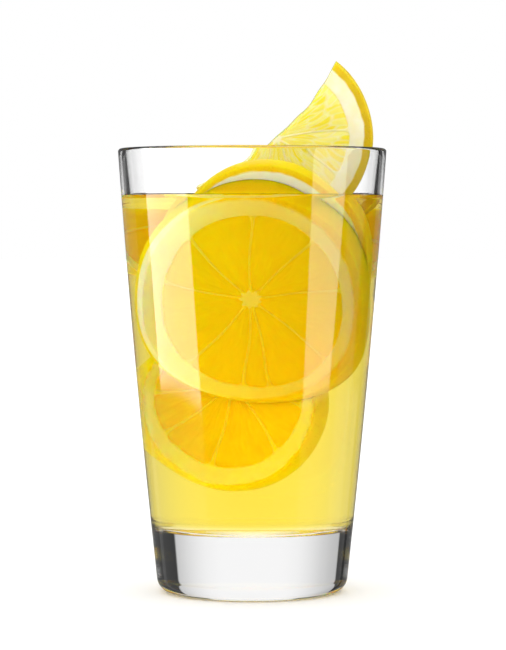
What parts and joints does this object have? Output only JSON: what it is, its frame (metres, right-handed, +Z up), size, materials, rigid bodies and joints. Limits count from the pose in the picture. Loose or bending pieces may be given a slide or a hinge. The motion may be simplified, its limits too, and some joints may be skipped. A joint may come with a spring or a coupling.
{
  "type": "glass of lemonade",
  "caption": "Tapered glass tumbler with a thick base, filled with yellow lemonade, with lemon slices in the drink and a halved slice standing out of the rim.",
  "frame": {"origin": "centre of the foot of the glass, on the surface it stands on", "axes": "+Z up along the axis of the glass; -Y is the front, which the faces of the slices look towards; +X to the right of the front"},
  "size_m": [0.0798, 0.0798, 0.1581],
  "materials": {
    "clear_glass": "clear polished glass",
    "lemonade": "clear yellow liquid",
    "lemon": "moist lemon flesh, pale pith and pored yellow skin"
  },
  "bodies": {
    "root": {"glass": "clear_glass", "lemonade": "lemonade", "lemon_slice_front": "lemon", "lemon_slice_back": "lemon", "lemon_garnish": "lemon"}
  },
  "joints": []
}
